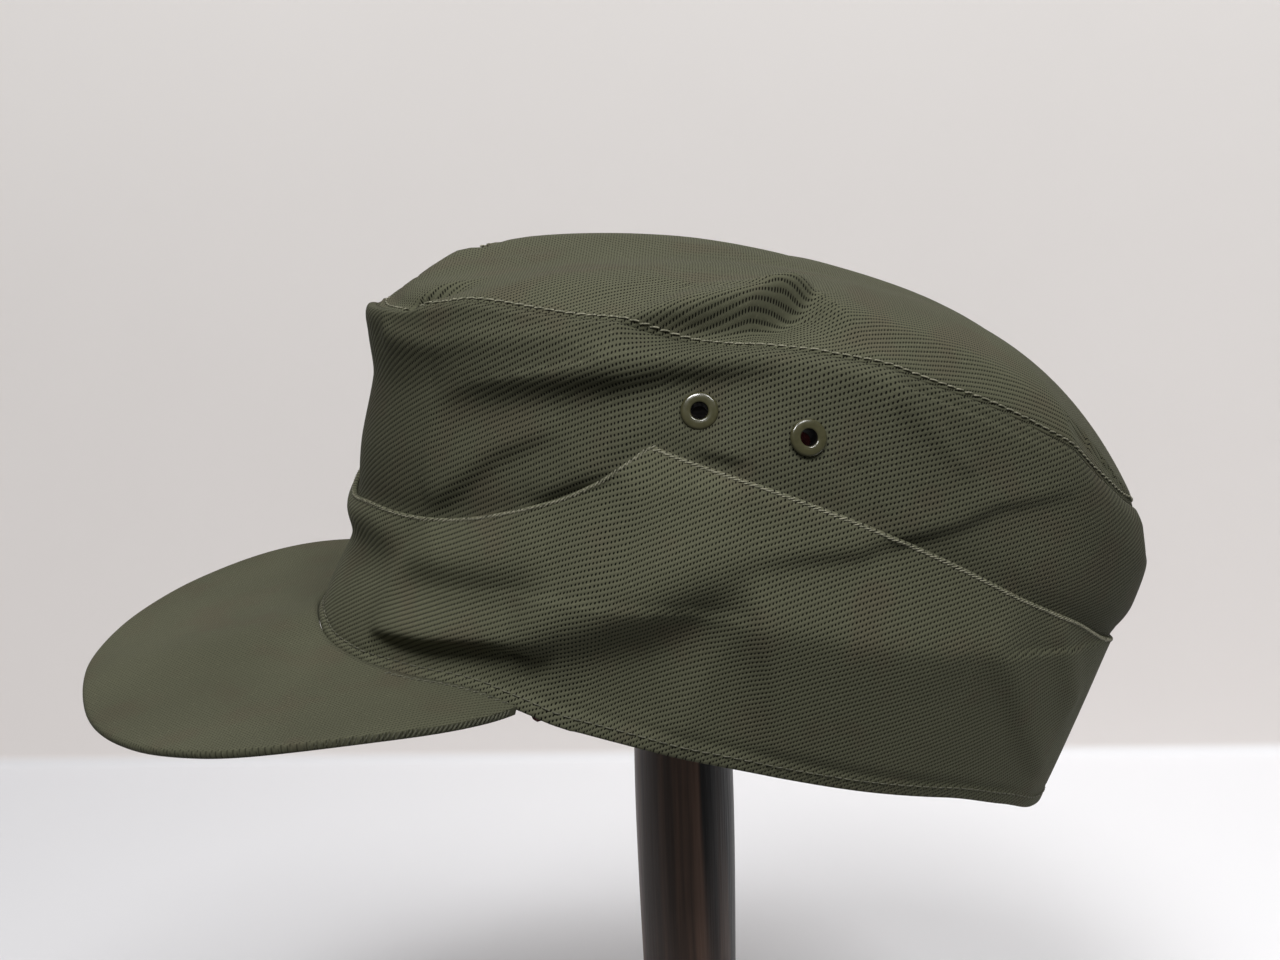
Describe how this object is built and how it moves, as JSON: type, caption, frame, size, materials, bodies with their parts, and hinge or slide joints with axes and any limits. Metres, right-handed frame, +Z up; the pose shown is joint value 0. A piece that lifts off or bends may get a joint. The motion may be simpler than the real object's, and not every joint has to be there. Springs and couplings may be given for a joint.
{
  "type": "tropical field cap on a turned wooden stand",
  "caption": "Peaked cloth field cap with a scalloped turn-up band and side eyelets, resting on a plain turned wooden stand.",
  "frame": {"origin": "middle of the stand's foot, on the surface that it stands on", "axes": "+Z up along the stand's post, -X towards the cap's front, -Y towards the cap's left side"},
  "size_m": [0.2944, 0.156, 0.325],
  "materials": {
    "cap_cloth": "matte ribbed cotton twill",
    "lining_cloth": "matte plain cotton",
    "eyelet_paint": "gloss",
    "stand_wood": "satin, dark stained"
  },
  "bodies": {
    "root": {"crown_top": "cap_cloth", "side_panel": "cap_cloth", "turn_up_band": "cap_cloth", "peak": "cap_cloth", "lining": "lining_cloth", "eyelet_left_front": "eyelet_paint", "eyelet_left_rear": "eyelet_paint", "eyelet_right_front": "eyelet_paint", "eyelet_right_rear": "eyelet_paint", "stand_base": "stand_wood", "stand_post": "stand_wood", "stand_head": "stand_wood"}
  },
  "joints": []
}
